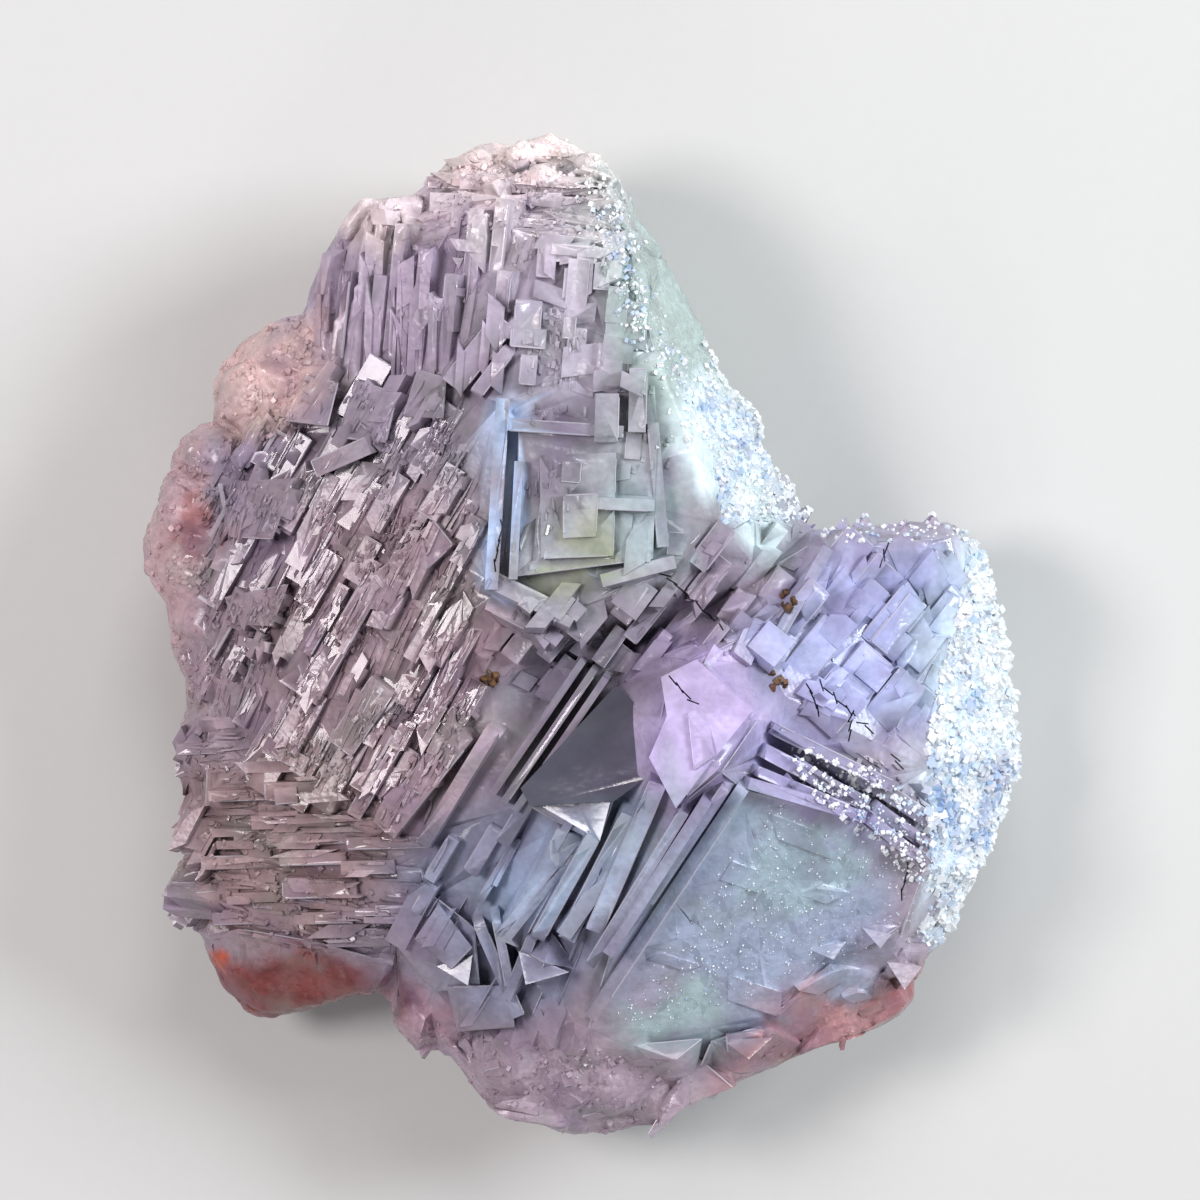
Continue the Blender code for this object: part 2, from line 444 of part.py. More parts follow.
def boolean(target, operation, other):
    modifier = target.modifiers.new(operation.lower(), "BOOLEAN")
    modifier.operation = operation
    modifier.solver = "MANIFOLD"
    if isinstance(other, bpy.types.Collection):
        modifier.operand_type = "COLLECTION"
        modifier.collection = other
    else:
        modifier.object = other


def outline_limit():
    """A prism a little inside the outline, which the crystals at the rim are cut off at."""
    corners = []
    for before, corner, after in zip(OUTLINE[-1:] + OUTLINE, OUTLINE, OUTLINE[1:] + OUTLINE[:1]):
        run = (Vector(after) - Vector(before)).normalized()
        corners.append((corner[0] + run.y * LIMIT_INSET, corner[1] - run.x * LIMIT_INSET, 45.0))
    return plate(corners, 50.0)


def fluorite():
    material = bpy.data.materials.new("fluorite")
    material.use_nodes = True
    shader = material.node_tree.nodes["Principled BSDF"]
    shader.inputs["Base Color"].default_value = (0.45, 0.40, 0.47, 1)
    shader.inputs["Roughness"].default_value = 0.2
    shader.inputs["IOR"].default_value = 1.434
    return material


def build():
    for old in list(bpy.data.objects):
        bpy.data.objects.remove(old)
    body = bulk()
    bpy.context.view_layer.update()
    ground = BVHTree.FromObject(body, bpy.context.evaluated_depsgraph_get())
    growth = []
    for part in (crown, upper_crystal, left_field, left_lumps, lower_crystal, right_side, foot, back):
        growth += part(ground)
    limit = outline_limit()
    boolean(growth[0], "UNION", helpers("growth", growth[1:]))
    boolean(growth[0], "INTERSECT", limit)
    boolean(body, "UNION", growth[0])
    helpers("cut_growth", [growth[0], limit])
    body.name = "fluorite_specimen"
    body.data.materials.append(fluorite())


build()
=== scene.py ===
"""Fluorite specimen seen from straight above, lying on its back on a pale table.

Metres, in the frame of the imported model: +Z up, +Y towards the crown. Lists of places are in
millimetres.
"""

import json
import math
import random

import bmesh
import bpy
import numpy as np
from mathutils import Matrix, Vector, noise
from mathutils.bvhtree import BVHTree

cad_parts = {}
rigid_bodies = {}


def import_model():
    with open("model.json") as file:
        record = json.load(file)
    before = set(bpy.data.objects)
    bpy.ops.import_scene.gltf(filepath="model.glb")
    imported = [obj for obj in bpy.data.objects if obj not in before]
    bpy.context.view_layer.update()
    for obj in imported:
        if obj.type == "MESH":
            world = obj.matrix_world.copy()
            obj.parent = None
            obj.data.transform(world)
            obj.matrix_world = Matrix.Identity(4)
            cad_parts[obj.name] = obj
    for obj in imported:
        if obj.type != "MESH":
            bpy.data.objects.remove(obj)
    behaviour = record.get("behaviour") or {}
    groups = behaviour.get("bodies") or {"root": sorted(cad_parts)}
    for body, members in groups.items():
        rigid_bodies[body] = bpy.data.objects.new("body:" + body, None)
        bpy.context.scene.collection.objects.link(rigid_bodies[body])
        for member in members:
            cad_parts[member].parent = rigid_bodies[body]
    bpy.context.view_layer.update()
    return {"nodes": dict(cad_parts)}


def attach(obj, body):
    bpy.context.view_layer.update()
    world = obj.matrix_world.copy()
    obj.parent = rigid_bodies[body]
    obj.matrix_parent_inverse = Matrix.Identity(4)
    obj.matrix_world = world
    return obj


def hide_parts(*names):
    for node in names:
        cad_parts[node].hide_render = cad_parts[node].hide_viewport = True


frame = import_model()


# The view. The specimen was photographed square on to its crystal face, from well away and
# through a long lens, so that is how the camera looks down on it.
MM = 0.001
VIEW_MIDDLE = (1.3, 2.6, 12.0)
VIEW_WIDTH = 84.0
LENS = 200.0
SENSOR = 36.0
NEAREST, FARTHEST = 0.01, 10.0

camera = bpy.data.cameras.new("camera")
camera.lens = LENS
camera.sensor_width = SENSOR
camera.clip_start, camera.clip_end = NEAREST, FARTHEST
camera_thing = bpy.data.objects.new("camera", camera)
bpy.context.scene.collection.objects.link(camera_thing)
distance = VIEW_WIDTH * LENS / SENSOR
camera_thing.location = Vector(VIEW_MIDDLE) * MM + Vector((0, 0, distance * MM))
bpy.context.scene.camera = camera_thing


# The crystal mass. Fluorite that grew as one piece: cubes stepped on cubes, each face built up
# of thin terraces and ridges that keep to the directions of the crystal under them. The solid
# gives the large forms, and here its rounded parts are smoothed and its growth steps added.
def placed(name, made, smooth_below=None):
    """An object of the finished bmesh, smooth over edges that turn by less than smooth_below degrees."""
    mesh = bpy.data.meshes.new(name)
    made.to_mesh(mesh)
    made.free()
    if smooth_below:
        mesh.shade_smooth()
        mesh.set_sharp_from_angle(angle=math.radians(smooth_below))
    thing = bpy.data.objects.new(name, mesh)
    bpy.context.scene.collection.objects.link(thing)
    return thing


def inside(point, corners):
    """True if a point lies inside a closed run of corners."""
    x, y = point
    crossed = False
    for (ax, ay), (bx, by) in zip(corners, corners[1:] + corners[:1]):
        if (ay > y) != (by > y) and x < ax + (y - ay) * (bx - ax) / (by - ay):
            crossed = not crossed
    return crossed


def reach_of(corners):
    """The least and the most of x, and the least and the most of y, in a run of corners."""
    return [(min(values), max(values)) for values in zip(*corners)]


def turned_cube(heading, pitch=0.0, roll=0.0):
    """How a cube is turned: about +Z by heading, its leading end up by pitch, its left side by roll."""
    turn = Matrix.Rotation(math.radians(heading), 3, "Z")
    raised = Matrix.Rotation(math.radians(-pitch), 3, "Y")
    return turn @ raised @ Matrix.Rotation(math.radians(roll), 3, "X")


# Parts that growth and wear have rounded, and how far each swells: the right slope, the far right
# edge, the foot, the red lump, the rosy left rim, the crown, the left shoulder, the rosy facets at
# the lower right, and the big smooth face.
ROUNDED = [
    ([(2.4, 33.5), (3.9, 26), (6, 19), (8.6, 12), (9.6, 7.5), (15.8, 8.6), (14, 14), (9, 22), (4, 32)],
     0.3),
    ([(26.9, 8.5), (26.8, 4), (25.4, -2), (24.6, -8), (24.4, -14), (26, -20), (33, -15), (33, 5)], 0.3),
    ([(-10.5, -27.5), (-7, -28.2), (0, -28), (3.4, -29), (7.5, -32), (3, -36), (-8, -36), (-12, -30)],
     0.3),
    ([(-28, -21), (-13, -22.6), (-11, -25), (-12, -30.5), (-22, -28.5), (-29, -24)], 0.25),
    ([(-32, -8), (-26.8, -6), (-25.6, 10), (-21, 14.6), (-18.6, 18), (-17.4, 23), (-27, 24.4), (-33, 15)],
     0.3),
    ([(-12, 30.8), (-6, 31.5), (2.4, 31.6), (3.6, 34), (-1, 36.4), (-12, 35)], 0.3),
    ([(-20.5, 19), (-17.4, 19.5), (-16.2, 27), (-11.5, 29.4), (-11.5, 32), (-17, 31.5), (-21, 27)], 0.15),
    ([(12.6, -25.6), (17, -22.8), (21.6, -20.8), (26, -20.8), (26, -27), (16, -32), (9.6, -31)], 0.1),
    ([(13.2, -11.4), (22.4, -16.4), (21.6, -20.0), (15, -22.6), (6, -27.0), (3.6, -26)], 0.05),
]
WIDE_CUTS = 3.2
CLOSE_CUTS = 1.0
FARTHEST_CUT = 37
FIRST_CUT = 0.37
LARGE_FACE = 0.4
SAME_PLACE = 1e-7
RESTING_HEIGHT = 1.5
SMOOTHINGS = 5
WIDE_SWELLS, SMALL_SWELLS = 0.55, 1.7


def merged_copy(node):
    """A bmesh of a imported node's shape, its doubled corners merged."""
    copy = bmesh.new()
    copy.from_mesh(node.data)
    bmesh.ops.remove_doubles(copy, verts=copy.verts[:], dist=SAME_PLACE)
    return copy


def swell_at(place):
    """How far the ground swells at a place, which is nothing where it isn't rounded."""
    return max((swell for corners, swell in ROUNDED if inside((place / MM).xy, corners)), default=0.0)


def shape_of(thing):
    """A thing's surface as it is now, for rays to hit."""
    bpy.context.view_layer.update()
    return BVHTree.FromObject(thing, bpy.context.evaluated_depsgraph_get())


def slice_up(made, spacing, rounded_only):
    """Cuts the larger faces along evenly spaced planes square to each axis, or only the rounded ones."""
    for axis in range(3):
        square = Vector([float(axis == other) for other in range(3)])
        left = [
            face for face in made.faces
            if face.calc_area() > (spacing * MM) ** 2 * LARGE_FACE
            and (swell_at(face.calc_center_median()) or not rounded_only)
        ]
        for number in range(int(-FARTHEST_CUT / spacing), int(FARTHEST_CUT / spacing)):
            level = (number + FIRST_CUT) * spacing * MM
            crossed = [face for face in left if min(vert.co[axis] for vert in face.verts) < level]
            edges = dict.fromkeys(edge for face in crossed for edge in face.edges)
            verts = dict.fromkeys(vert for face in crossed for vert in face.verts)
            pieces = bmesh.ops.bisect_plane(
                made, geom=[*verts, *edges, *crossed], dist=1e-8, plane_co=square * level, plane_no=square
            )["geom"]
            faces = dict.fromkeys(left + [part for part in pieces if isinstance(part, bmesh.types.BMFace)])
            left = [
                face for face in faces
                if face.is_valid and max(vert.co[axis] for vert in face.verts) > level + SAME_PLACE
            ]
    bmesh.ops.triangulate(made, faces=[face for face in made.faces if len(face.verts) > 3])


rough = merged_copy(frame["nodes"]["fluorite_specimen"])
slice_up(rough, WIDE_CUTS, False)
slice_up(rough, CLOSE_CUTS, True)
rounded = [vert for vert in rough.verts if vert.co.z > RESTING_HEIGHT * MM and swell_at(vert.co)]
for _ in range(SMOOTHINGS):
    bmesh.ops.smooth_vert(
        rough, verts=rounded, factor=0.5, use_axis_x=True, use_axis_y=True, use_axis_z=True)
for vert in rounded:
    swell = noise.noise(vert.co / MM * WIDE_SWELLS) + noise.noise(vert.co / MM * SMALL_SWELLS) * 0.5
    vert.co += vert.normal * swell * swell_at(vert.co) * MM
bmesh.ops.recalc_face_normals(rough, faces=rough.faces[:])
mass = placed("fluorite_mass", rough)
ground = shape_of(mass)
DOWN = Vector((0, 0, -1))
LOOKOUT = 0.05


def unit_step(name, slant, taper, clip):
    """A block of size one: its ends slanted, its top smaller than its foot, one corner cut off."""
    cube = bmesh.new()
    bmesh.ops.create_cube(cube, size=1.0)
    if clip:
        everything = cube.verts[:] + cube.edges[:] + cube.faces[:]
        cut = bmesh.ops.bisect_plane(
            cube, geom=everything, dist=1e-6, plane_co=(0.5 - clip, 0.5, 0), plane_no=(1, 0.7, 0),
            clear_outer=True,
        )["geom_cut"]
        edges = [part for part in cut if isinstance(part, bmesh.types.BMEdge)]
        bmesh.ops.contextual_create(cube, geom=edges)
    for vert in cube.verts:
        narrowed = 1 - taper if vert.co.z > 0 else 1
        vert.co.x = vert.co.x * narrowed + vert.co.y * slant
        vert.co.y *= narrowed
    made = bpy.data.meshes.new(name)
    cube.to_mesh(made)
    cube.free()
    return made


one_step = unit_step("square_step", 0, 0, 0)
STEP_KINDS = [
    one_step,
    unit_step("slant_step", 0.22, 0.05, 0),
    unit_step("back_slant_step", -0.22, 0.05, 0),
    unit_step("sharp_step", 0.5, 0.08, 0),
    unit_step("cut_step", 0, 0.05, 0.3),
    unit_step("cut_slant_step", -0.3, 0.1, 0.2),
]
RIM, DARK = 1, 2
one_rim = one_step.copy()
for polygon in one_rim.polygons:
    polygon.material_index = RIM
steps = bpy.data.collections.new("steps")


def add_step(top, size, turned, kind=one_step):
    """One block. Its top face's middle is at top, and its size is length, width and depth."""
    middle = Vector(top) - turned @ Vector((0, 0, size[2] / 2))
    shaped = (turned @ Matrix.Diagonal(Vector(size) * MM)).to_4x4()
    step = bpy.data.objects.new("step", kind)
    step.matrix_world = Matrix.Translation(middle * MM) @ shaped
    steps.objects.link(step)


def ground_under(x, y):
    """The place and the slope of the ground under a point, in millimetres."""
    spot, slope = ground.ray_cast(Vector((x * MM, y * MM, LOOKOUT)), DOWN)[:2]
    return (spot / MM if spot else None), slope


# A step goes on ground no steeper than this. It may hang over by a little, more the longer it is,
# and a bridge by this much. A step and its rims are this deep, most of it sunk into the ground.
LEAST_SLOPE = 0.4
OVERHANG = 0.22
OVERHANG_BY_LENGTH = 0.05
BRIDGED = 1.6
STEP_DEPTH = 1.0
RIM_DEPTH = 0.4


def lay_step(x, y, heading, size, rise, stray, rims, bridge=False):
    """Lays a step on ground flat enough for it, with thin rims if asked, which are later painted pale as a
    highlight. A bridge spans dips.
    """
    length, width = size
    spot, slope = ground_under(x, y)
    if spot is None or slope.z < LEAST_SLOPE:
        return
    along = Vector((math.cos(math.radians(heading)), math.sin(math.radians(heading)), 0))
    along = (along - slope * along.dot(slope)).normalized()
    turned = Matrix((along, slope.cross(along), slope)).transposed()
    for axis, share in (("X", 1.0), ("Y", 1.0), ("Z", 0.4)):
        turned = turned @ Matrix.Rotation(math.radians(chance.gauss(0, stray * share)), 3, axis)
    lift = 0.0
    allowed = OVERHANG + OVERHANG_BY_LENGTH * length
    for ahead, aside in ((0.42, 0), (-0.42, 0), (0, 0.42), (0, -0.42)):
        probe = spot + turned @ Vector((length * ahead, width * aside, 0))
        under = ground_under(probe.x, probe.y)[0]
        gap = (under - spot).dot(turned.col[2]) if under else 9
        if gap > allowed or gap < (-BRIDGED if bridge else -allowed):
            return
        lift = max(lift, gap * 0.5)
    top = spot + turned @ Vector((0, 0, rise + lift))
    kind = chance.choice(STEP_KINDS)
    add_step(top, (length, width, STEP_DEPTH + rise), turned, kind)
    if rims and kind is one_step:
        side = turned @ Vector((0, width * chance.choice((-0.5, 0.5)), 0.015))
        thin = chance.uniform(0.05, 0.1)
        add_step(top + side, (length * 0.98, thin, RIM_DEPTH), turned, one_rim)
        if chance.random() < 0.5:
            end = turned @ Vector((length * chance.choice((-0.5, 0.5)), 0, 0.02))
            add_step(top + end, (thin, width * 0.96, RIM_DEPTH), turned, one_rim)


# What grows where. Layers are plates, ridges and fine crinkles. Each gives how many for a square
# millimetre, the least and most length, width and rise, how far they stray, and the share of them
# with rims painted pale as a highlight. Crinkles keep to patches.
PLATES, BRIDGES, RIDGES, CRINKLES = "plates", "bridges", "ridges", "crinkles"
FIELDS = [
    ([(-9, 17), (-5.8, 3), (-7, -4), (-10.5, -13), (-18, -11), (-26, -5), (-26.5, 11), (-23, 15),
      (-18, 18)], 60, [
        (BRIDGES, 0.60, (1.0, 3.4), (0.4, 1.5), (0.02, 0.12), 2.0, 0.5),
        (RIDGES, 1.10, (0.6, 3.0), (0.1, 0.3), (0.04, 0.28), 4.0, 0.25),
        (CRINKLES, 10.0, (0.2, 0.8), (0.12, 0.36), (0.02, 0.24), 14.0, 0.0)]),
    ([(-18.8, 21), (-17.4, 18.6), (-5, 17.6), (-3.6, 27), (-15, 29.5), (-18, 27)], 86, [
        (BRIDGES, 0.60, (2.5, 8.0), (0.5, 1.5), (0.02, 0.14), 0.9, 0.2),
        (RIDGES, 0.30, (1.2, 5.0), (0.12, 0.3), (0.04, 0.2), 2.0, 0.1),
        (CRINKLES, 2.4, (0.2, 0.7), (0.12, 0.35), (0.02, 0.15), 8.0, 0.0)]),
    ([(-6.2, 17), (5, 16.5), (3.4, 27), (-4.4, 27.5)], 85, [
        (BRIDGES, 0.35, (1.2, 4.0), (0.8, 2.6), (0.02, 0.1), 1.0, 0.5),
        (CRINKLES, 5.0, (0.2, 0.8), (0.12, 0.4), (0.02, 0.16), 10.0, 0.0)]),
    ([(-13, 27), (2.8, 25.6), (2.2, 31.6), (-1, 34), (-10, 33), (-15, 30)], -5, [
        (BRIDGES, 1.10, (2.0, 7.0), (0.3, 1.1), (0.04, 0.3), 2.5, 0.4),
        (CRINKLES, 4.0, (0.2, 0.7), (0.2, 0.5), (0.02, 0.15), 10.0, 0.0)]),
    ([(-5.6, 3.4), (7, 5.2), (6.4, 15), (-5, 16)], 85, [
        (PLATES, 0.20, (1.0, 4.0), (0.5, 2.2), (0.03, 0.15), 1.0, 0.9),
        (CRINKLES, 1.6, (0.2, 0.7), (0.12, 0.35), (0.02, 0.12), 8.0, 0.0)]),
    ([(-26, -4.5), (-18.5, -10), (-11.5, -14), (-12, -20), (-14.5, -23), (-27, -20.5), (-28, -13)], 3, [
        (BRIDGES, 0.70, (1.4, 5.0), (0.3, 1.2), (0.03, 0.25), 3.0, 0.3),
        (RIDGES, 0.80, (0.8, 3.0), (0.12, 0.34), (0.05, 0.35), 4.0, 0.1),
        (CRINKLES, 5.0, (0.2, 0.8), (0.12, 0.4), (0.02, 0.2), 10.0, 0.0)]),
    ([(-10, -12.5), (-3.6, -12), (5.5, -9.5), (-0.5, -26.5), (-9, -28), (-13.5, -21)], 59, [
        (PLATES, 0.22, (2.5, 8.0), (0.5, 1.7), (0.05, 0.35), 1.2, 0.8),
        (RIDGES, 0.12, (1.2, 5.0), (0.12, 0.3), (0.04, 0.2), 2.0, 0.1)]),
    ([(-6.5, 2.4), (2, 3), (8.8, 7), (15.8, 7.4), (13, -1), (5.4, -1.6), (1.4, -2.6), (-6, -4.5)], 52, [
        (BRIDGES, 0.90, (1.0, 3.6), (0.8, 2.4), (0.04, 0.3), 3.0, 0.5),
        (CRINKLES, 0.8, (0.2, 0.7), (0.12, 0.35), (0.02, 0.15), 8.0, 0.0)]),
    ([(16.4, 6.4), (25.8, 7), (27, 3.4), (25, -2), (24.4, -9), (20, -7), (14, -3.6), (12.8, 1)], 50, [
        (BRIDGES, 0.55, (1.5, 4.6), (0.9, 2.6), (0.02, 0.13), 1.0, 0.6),
        (CRINKLES, 0.8, (0.2, 0.7), (0.12, 0.35), (0.02, 0.12), 8.0, 0.0)]),
    ([(11.6, -9.8), (12.6, -5.8), (20.5, -8.4), (24.6, -10), (24.4, -16.5), (19, -12.4)], -31, [
        (PLATES, 0.70, (1.2, 5.0), (0.3, 1.0), (0.05, 0.4), 4.0, 0.6),
        (CRINKLES, 3.0, (0.2, 0.7), (0.15, 0.4), (0.02, 0.25), 12.0, 0.0)]),
    ([(12.4, -10.8), (24, -16), (22.5, -22), (4, -28.6), (1.6, -27)], -31, [
        (PLATES, 0.03, (2.0, 6.0), (0.8, 2.4), (0.02, 0.07), 0.4, 0.2),
        (CRINKLES, 0.25, (0.12, 0.3), (0.1, 0.25), (0.01, 0.05), 14.0, 0.0)]),
    ([(-32, -6), (-26.4, -5), (-25.6, 10), (-20, 15.6), (-18, 22.5), (-26, 23.4), (-32, 12)], 70, [
        (CRINKLES, 4.0, (0.2, 0.7), (0.2, 0.5), (0.02, 0.16), 14.0, 0.0)]),
    ([(-11, -26.6), (-6, -28), (3.4, -28.6), (9, -31.4), (2, -35), (-6, -35), (-12, -30.5)], 20, [
        (PLATES, 0.10, (1.0, 3.0), (0.5, 1.4), (0.04, 0.2), 6.0, 0.2),
        (CRINKLES, 1.6, (0.15, 0.6), (0.15, 0.5), (0.02, 0.14), 14.0, 0.0)]),
    ([(9, -32), (16.6, -22), (24, -24.6), (23.6, -27.4), (15, -31)], 24, [
        (PLATES, 0.10, (1.2, 4.0), (0.6, 1.8), (0.05, 0.3), 5.0, 0.5),
        (CRINKLES, 1.0, (0.2, 0.7), (0.15, 0.5), (0.02, 0.2), 12.0, 0.0)]),
]
PATCHES = 0.28
LEAST_IN_PATCH = 0.08
chance = random.Random(21)
for corners, heading, layers in FIELDS:
    (low_x, high_x), (low_y, high_y) = reach_of(corners)
    for layer, density, lengths, widths, rises, stray, rims in layers:
        for _ in range(int((high_x - low_x) * (high_y - low_y) * density)):
            x, y = chance.uniform(low_x, high_x), chance.uniform(low_y, high_y)
            size = [low + (high - low) * chance.random() ** 1.6 for low, high in (lengths, widths)]
            rise = rises[0] + (rises[1] - rises[0]) * chance.random() ** 2
            rimmed = chance.random() < rims
            patchy = noise.noise(Vector((x * PATCHES, y * PATCHES, heading))) > LEAST_IN_PATCH
            if inside((x, y), corners) and (layer != CRINKLES or patchy):
                along = heading + chance.gauss(0, stray * 0.4)
                lay_step(x, y, along, size, rise, stray, rimmed, layer == BRIDGES)

# The plates of the solid itself get thin rims along their edges, painted pale as a highlight of the light
# such edges catch.
LEAST_EDGE_TURN = 38
LEAST_EDGE = 1.1
EDGE_LINE = 0.08
EDGES_LINED = 0.55
LEAST_TO_LIGHT = 0.35
plates = merged_copy(frame["nodes"]["fluorite_specimen"])
bmesh.ops.dissolve_limit(
    plates, angle_limit=math.radians(1.0), verts=plates.verts[:], edges=plates.edges[:])
for edge in plates.edges:
    middle = (edge.verts[0].co + edge.verts[1].co) / 2 / MM
    length = edge.calc_length() / MM
    if len(edge.link_faces) != 2 or length < LEAST_EDGE or swell_at(middle * MM):
        continue
    outwards = (edge.link_faces[0].normal + edge.link_faces[1].normal).normalized()
    turn = math.degrees(edge.calc_face_angle_signed(0))
    if turn > LEAST_EDGE_TURN and outwards.z > LEAST_TO_LIGHT and chance.random() < EDGES_LINED:
        along = (edge.verts[1].co - edge.verts[0].co).normalized()
        turned = Matrix((along, outwards.cross(along), outwards)).transposed()
        thin = EDGE_LINE * chance.uniform(0.7, 1.3)
        lined = (length * chance.uniform(0.7, 0.98), thin, 0.3)
        add_step(middle + outwards * 0.01, lined, turned, one_rim)
plates.free()

# The sides and the back are stepped as well, more coarsely. Blocks there keep to the crystal's own
# directions and stand out of the ground by their rise.
SIDE_BLOCKS = 1500
LEAST_HEIGHT = 0.05
OUTSIDE = 60
LOWEST_BACK = 0.4
BELOW = -0.01


def add_side_block(spot, slope, size, turned, rise):
    """A block that stands out of a side or the back by its rise, and stays clear of the table."""
    reach = sum(abs(turned.col[axis].dot(slope)) * size[axis] / 2 for axis in range(3))
    middle = spot + slope * (rise - reach)
    drop = sum(abs(turned[2][axis]) * size[axis] / 2 for axis in range(3))
    if middle.z - drop > LEAST_HEIGHT:
        add_step(middle + turned @ Vector((0, 0, size[2] / 2)), size, turned, chance.choice(STEP_KINDS))


for _ in range(SIDE_BLOCKS):
    around = chance.uniform(0, math.tau)
    outwards = Vector((math.cos(around), math.sin(around), 0))
    start = Vector((chance.gauss(0, 6), chance.gauss(0, 6), chance.uniform(1, 13)))
    size = (chance.uniform(0.6, 3.6), chance.uniform(0.3, 1.6), chance.uniform(0.8, 2.4))
    rise = 0.06 + 0.5 * chance.random() ** 2
    lean = 60 if start.x < 6 else 50
    turned = turned_cube(lean + chance.gauss(0, 4), 6 + chance.gauss(0, 4), -14 + chance.gauss(0, 4))
    spot, slope = ground.ray_cast((start + outwards * OUTSIDE) * MM, -outwards)[:2]
    if spot and slope.z < 0.5 and not swell_at(spot):
        add_side_block(spot / MM, slope, size, turned, rise)
for _ in range(SIDE_BLOCKS):
    x, y = chance.uniform(-32, 33), chance.uniform(-36, 36)
    size = (chance.uniform(0.6, 3.6), chance.uniform(0.4, 1.8), chance.uniform(0.8, 2.0))
    rise = 0.06 + 0.5 * chance.random() ** 2
    turned = turned_cube(60 + chance.gauss(0, 5), 6 + chance.gauss(0, 5), -14 + chance.gauss(0, 5))
    spot, slope = ground.ray_cast(Vector((x * MM, y * MM, BELOW)), -DOWN)[:2]
    if spot and spot.z > LOWEST_BACK * MM and slope.z < -0.05 and not swell_at(spot):
        add_side_block(spot / MM, slope, size, turned, rise)

# Single facets: the corners of each, its height over the ground that it covers and, where it doesn't
# face halfway to the light from the left and shine, its slope.
DARK_BLOCK = [(2.4, -3.2), (5.5, -6.2), (4.2, -9.6), (2.3, -11.0), (-3.4, -11.4), (-4.1, -10.2)]
LILAC_CORNER = [
    (7.8, -1.4), (11.6, -4.8), (9.8, -7.0), (6.4, -11.4), (4.6, -8.0), (5.8, -5.2), (5.4, -2.6),
]
FACETS = [
    (DARK_BLOCK, 0.1, (-0.17, 0.25, 0.95)),
    (LILAC_CORNER, 0.35, (-0.1, 0.2, 0.97)),
    ([(-3.1, -11.2), (2.1, -10.7), (1.3, -13.7)], 0.3),
    ([(-4.3, -21.5), (-0.8, -22.9), (-3.8, -23.8)], 0.2),
    ([(-10.0, -22.7), (-7.5, -21.9), (-7.8, -24.0)], 0.2),
    ([(-8.9, 26.2), (-8.1, 26.1), (-8.4, 25.4)], 0.15),
    ([(9.8, -27.9), (13.2, -27.7), (11.6, -29.2)], 0.2),
    ([(19.4, -20.0), (21.4, -20.4), (20.6, -21.4)], 0.15),
    ([(21.0, -22.2), (23.6, -22.8), (22.4, -24.4)], 0.15),
    ([(15.5, -21.4), (18.2, -21.0), (17.4, -22.2)], 0.15),
]
TO_LIGHT = Vector((-0.273, 0.062, 0.960))
PROBES = 30
HIGH_SHARE = 0.85
FACET_DEPTH = 4.0
for corners, rise, *slopes in FACETS:
    facing = Vector(slopes[0] if slopes else TO_LIGHT).normalized()
    low, high = [Vector(ends) for ends in zip(*reach_of(corners))]
    probes = [
        (low.x + (high.x - low.x) * column / PROBES, low.y + (high.y - low.y) * row / PROBES)
        for column in range(1, PROBES) for row in range(1, PROBES)
    ]
    levels = sorted(ground_under(*probe)[0].dot(facing) for probe in probes if inside(probe, corners))
    level = levels[int(len(levels) * HIGH_SHARE)] + rise
    tip = bmesh.new()
    points = [Vector((x, y, (level - x * facing.x - y * facing.y) / facing.z)) for x, y in corners]
    top = tip.faces.new([tip.verts.new(point * MM) for point in points])
    bottom = bmesh.ops.extrude_face_region(tip, geom=[top])["geom"]
    sunk = [part for part in bottom if isinstance(part, bmesh.types.BMVert)]
    bmesh.ops.translate(tip, verts=sunk, vec=(0, 0, -FACET_DEPTH * MM))
    bmesh.ops.recalc_face_normals(tip, faces=tip.faces[:])
    glint = bpy.data.meshes.new("facet")
    tip.to_mesh(glint)
    tip.free()
    for polygon in glint.polygons:
        polygon.material_index = DARK if corners == DARK_BLOCK else 0
    steps.objects.link(bpy.data.objects.new("facet", glint))

# Hair cracks: the ends of each, cut a little way into the ground.
CRACKS = [
    ((15.5, -3.2), (16.3, -5.2)), ((16.2, -3.0), (20.0, -6.5)), ((18.5, -5.0), (18.4, -7.0)),
    ((21.5, -8.0), (22.0, -9.0)), ((22.5, -15.5), (22.0, -18.0)), ((5.5, 4.5), (9.7, 0.7)),
    ((6.0, -2.6), (7.8, -4.5)), ((20.6, 5.0), (21.2, 6.4)), ((-5.9, 4.6), (-5.3, 8.0)),
]
CRACK_WIDTH = 0.1
CRACK_DEPTH = 0.7
PIECE_OF_CRACK = 0.7
CRACK_BEND = 14
CUTTER_ABOVE = 1.2


def joined(thing, others, way):
    """The thing's mesh with all the others added to it or cut out of it."""
    join = thing.modifiers.new("join", "BOOLEAN")
    join.operation = way
    join.solver = "MANIFOLD"
    join.operand_type = "COLLECTION"
    join.collection = others
    bpy.context.view_layer.update()
    result = bpy.data.meshes.new_from_object(thing.evaluated_get(bpy.context.evaluated_depsgraph_get()))
    thing.modifiers.clear()
    thing.data = result
    for other in list(others.objects):
        bpy.data.objects.remove(other)
    bpy.data.collections.remove(others)
    return result


